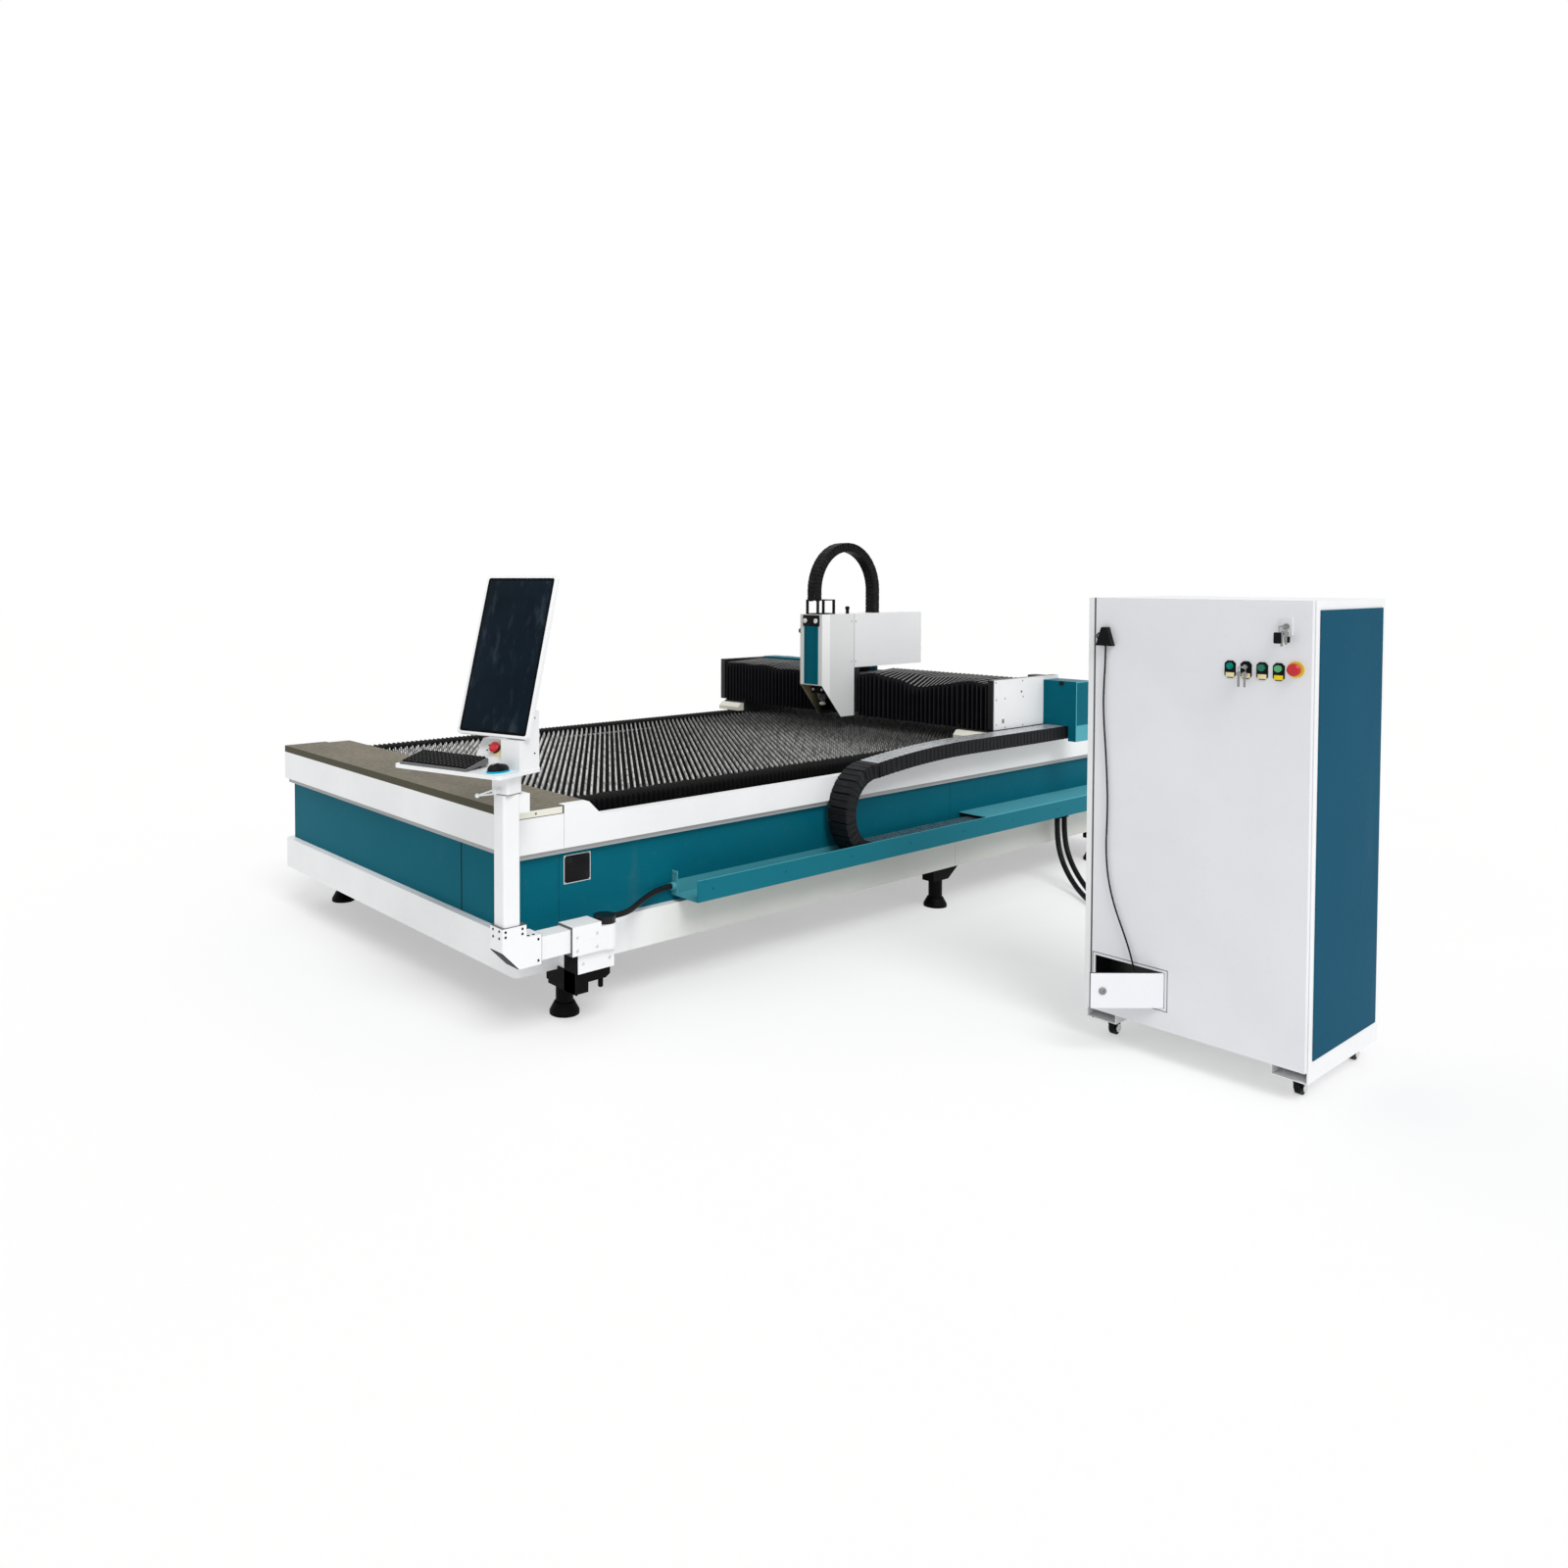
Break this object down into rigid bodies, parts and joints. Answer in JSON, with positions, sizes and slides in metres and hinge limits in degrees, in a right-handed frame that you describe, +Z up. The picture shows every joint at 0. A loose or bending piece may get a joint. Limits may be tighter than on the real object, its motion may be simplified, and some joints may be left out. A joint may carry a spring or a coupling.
{
  "type": "flatbed laser cutting machine",
  "caption": "Open flatbed laser cutting machine: slatted bed, moving gantry with bellows and drag chains, cutting head, swing console and separate electrical cabinet on casters.",
  "frame": {"origin": "centre of the pad under the front right levelling foot, on the floor", "axes": "+X to the machine's rear along the bed, +Y to the left, +Z up"},
  "size_m": [4.8339, 4.184, 1.8765],
  "materials": {
    "white_paint": "satin powder coat",
    "teal_paint": "satin enamel",
    "frame_paint": "matt enamel",
    "plate_steel": "mill finish",
    "head_aluminium": "anodised",
    "black_plastic": "moulded",
    "bellows_cloth": "coated cloth",
    "screen_glass": "gloss",
    "red_plastic": "gloss",
    "green_plastic": "gloss",
    "cord_rubber": "matt",
    "caster_steel": "zinc plated",
    "caster_rubber": "matt"
  },
  "bodies": {
    "bed": {"bed_side_beams": "frame_paint", "bed_cross_beams": "frame_paint", "ledge_plate": "plate_steel", "upper_covers": "white_paint", "bed_panels": "teal_paint", "skirts": "white_paint", "legs_and_feet": "frame_paint", "slats": "plate_steel", "x_rails_and_racks": "plate_steel", "chain_tray": "teal_paint", "x_chain_lower_run": "black_plastic", "x_bellows_front": "bellows_cloth", "x_bellows_rear": "bellows_cloth", "console_wall_bracket": "white_paint", "console_conduit": "cord_rubber", "cabinet_body": "white_paint", "cabinet_cables": "cord_rubber"},
    "gantry": {"gantry_beam": "teal_paint", "gantry_ends": "white_paint", "saddles": "frame_paint", "chain_box": "teal_paint", "x_chain_upper_run": "black_plastic", "y_rails_and_rack": "plate_steel", "bellows_left": "bellows_cloth", "bellows_right": "bellows_cloth"},
    "chain_loop": {"x_chain_bend": "black_plastic"},
    "carriage": {"y_carriage": "plate_steel", "z_housing": "white_paint", "rear_box": "white_paint", "arch_chain": "black_plastic"},
    "head": {"z_slide": "plate_steel", "cutting_head": "head_aluminium"},
    "console_arm": {"console_arm": "white_paint", "console_post": "white_paint"},
    "console_head": {"console_tray": "white_paint", "keyboard": "black_plastic", "mouse": "black_plastic", "console_box": "white_paint", "monitor_housing": "white_paint", "monitor_screen": "screen_glass"},
    "clamp_lever": {"clamp_lever": "white_paint"},
    "console_estop": {"console_estop": "red_plastic"},
    "cabinet_door": {"cabinet_door": "white_paint", "door_fittings": "black_plastic", "door_cord": "cord_rubber"},
    "cabinet_flap": {"cabinet_flap": "white_paint"},
    "start_button": {"start_button": "green_plastic"},
    "stop_button": {"stop_button": "green_plastic"},
    "key_switch": {"key_switch": "plate_steel"},
    "cabinet_estop": {"cabinet_estop": "red_plastic"},
    "door_lock": {"door_lock": "plate_steel"},
    "caster_1": {"caster_fork_1": "caster_steel"},
    "wheel_1": {"caster_wheel_1": "caster_rubber"},
    "caster_2": {"caster_fork_2": "caster_steel"},
    "wheel_2": {"caster_wheel_2": "caster_rubber"},
    "caster_3": {"caster_fork_3": "caster_steel"},
    "wheel_3": {"caster_wheel_3": "caster_rubber"},
    "caster_4": {"caster_fork_4": "caster_steel"},
    "wheel_4": {"caster_wheel_4": "caster_rubber"}
  },
  "joints": [
    {"name": "gantry_slide", "type": "slide", "parent": "bed", "child": "gantry", "axis": [1, 0, 0], "range_m": [-2.2, 0.65], "deforming": ["x_chain_lower_run", "x_chain_upper_run", "x_bellows_front", "x_bellows_rear"]},
    {"name": "chain_loop_slide", "type": "slide", "parent": "gantry", "child": "chain_loop", "axis": [1, 0, 0], "range_m": [-0.33, 1.11]},
    {"name": "carriage_slide", "type": "slide", "parent": "gantry", "child": "carriage", "axis": [0, 1, 0], "range_m": [-0.717, 0.783], "deforming": ["bellows_right", "bellows_left"]},
    {"name": "head_slide", "type": "slide", "parent": "carriage", "child": "head", "axis": [0, 0, 1], "range_m": [-0.115, 0], "deforming": ["arch_chain"]},
    {"name": "console_swing", "type": "hinge", "parent": "bed", "child": "console_arm", "pos_m": [0.056, -0.18, 0.34], "axis": [0, 0, 1], "range_deg": [-8, 100]},
    {"name": "console_turn", "type": "hinge", "parent": "console_arm", "child": "console_head", "pos_m": [-0.374, -0.18, 0.948], "axis": [0, 0, 1], "range_deg": [-60, 60]},
    {"name": "clamp_turn", "type": "hinge", "parent": "console_head", "child": "clamp_lever", "pos_m": [-0.374, -0.18, 0.934], "axis": [0.9542, 0.299, 0], "range_deg": [-85, 0]},
    {"name": "console_stop_press", "type": "slide", "parent": "console_head", "child": "console_estop", "axis": [0.7817, 0.245, -0.5736], "range_m": [0, 0.006]},
    {"name": "door_swing", "type": "hinge", "parent": "bed", "child": "cabinet_door", "pos_m": [1.346, -1.401, 0.857], "axis": [0, 0, -1], "range_deg": [0, 110]},
    {"name": "flap_swing", "type": "hinge", "parent": "cabinet_door", "child": "cabinet_flap", "pos_m": [1.346, -1.667, 0.25], "axis": [0, 0, 1], "range_deg": [-34, 60]},
    {"name": "start_press", "type": "slide", "parent": "cabinet_door", "child": "start_button", "axis": [1, 0, 0], "range_m": [0, 0.0035], "stiffness_N_per_m": 600},
    {"name": "stop_press", "type": "slide", "parent": "cabinet_door", "child": "stop_button", "axis": [1, 0, 0], "range_m": [0, 0.0035], "stiffness_N_per_m": 600},
    {"name": "key_turn", "type": "hinge", "parent": "cabinet_door", "child": "key_switch", "pos_m": [1.346, -1.922, 1.385], "axis": [-1, 0, 0], "range_deg": [-60, 0]},
    {"name": "alarm_press", "type": "slide", "parent": "cabinet_door", "child": "cabinet_estop", "axis": [1, 0, 0], "range_m": [0, 0.006]},
    {"name": "lock_turn", "type": "hinge", "parent": "cabinet_door", "child": "door_lock", "pos_m": [1.346, -2.044, 1.52], "axis": [-1, 0, 0], "range_deg": [0, 90]},
    {"name": "caster_swivel_1", "type": "hinge", "parent": "bed", "child": "caster_1", "pos_m": [1.44, -1.431, 0.07], "axis": [0, 0, 1], "continuous": true},
    {"name": "wheel_roll_1", "type": "hinge", "parent": "caster_1", "child": "wheel_1", "pos_m": [1.458, -1.431, 0.025], "axis": [0, 1, 0], "continuous": true},
    {"name": "caster_swivel_2", "type": "hinge", "parent": "bed", "child": "caster_2", "pos_m": [1.44, -2.064, 0.07], "axis": [0, 0, 1], "continuous": true},
    {"name": "wheel_roll_2", "type": "hinge", "parent": "caster_2", "child": "wheel_2", "pos_m": [1.458, -2.064, 0.025], "axis": [0, 1, 0], "continuous": true},
    {"name": "caster_swivel_3", "type": "hinge", "parent": "bed", "child": "caster_3", "pos_m": [1.874, -1.431, 0.07], "axis": [0, 0, 1], "continuous": true},
    {"name": "wheel_roll_3", "type": "hinge", "parent": "caster_3", "child": "wheel_3", "pos_m": [1.892, -1.431, 0.025], "axis": [0, 1, 0], "continuous": true},
    {"name": "caster_swivel_4", "type": "hinge", "parent": "bed", "child": "caster_4", "pos_m": [1.874, -2.064, 0.07], "axis": [0, 0, 1], "continuous": true},
    {"name": "wheel_roll_4", "type": "hinge", "parent": "caster_4", "child": "wheel_4", "pos_m": [1.892, -2.064, 0.025], "axis": [0, 1, 0], "continuous": true}
  ],
  "couplings": [
    {"joint": "chain_loop_slide", "follows": "gantry_slide", "ratio": -0.5}
  ]
}
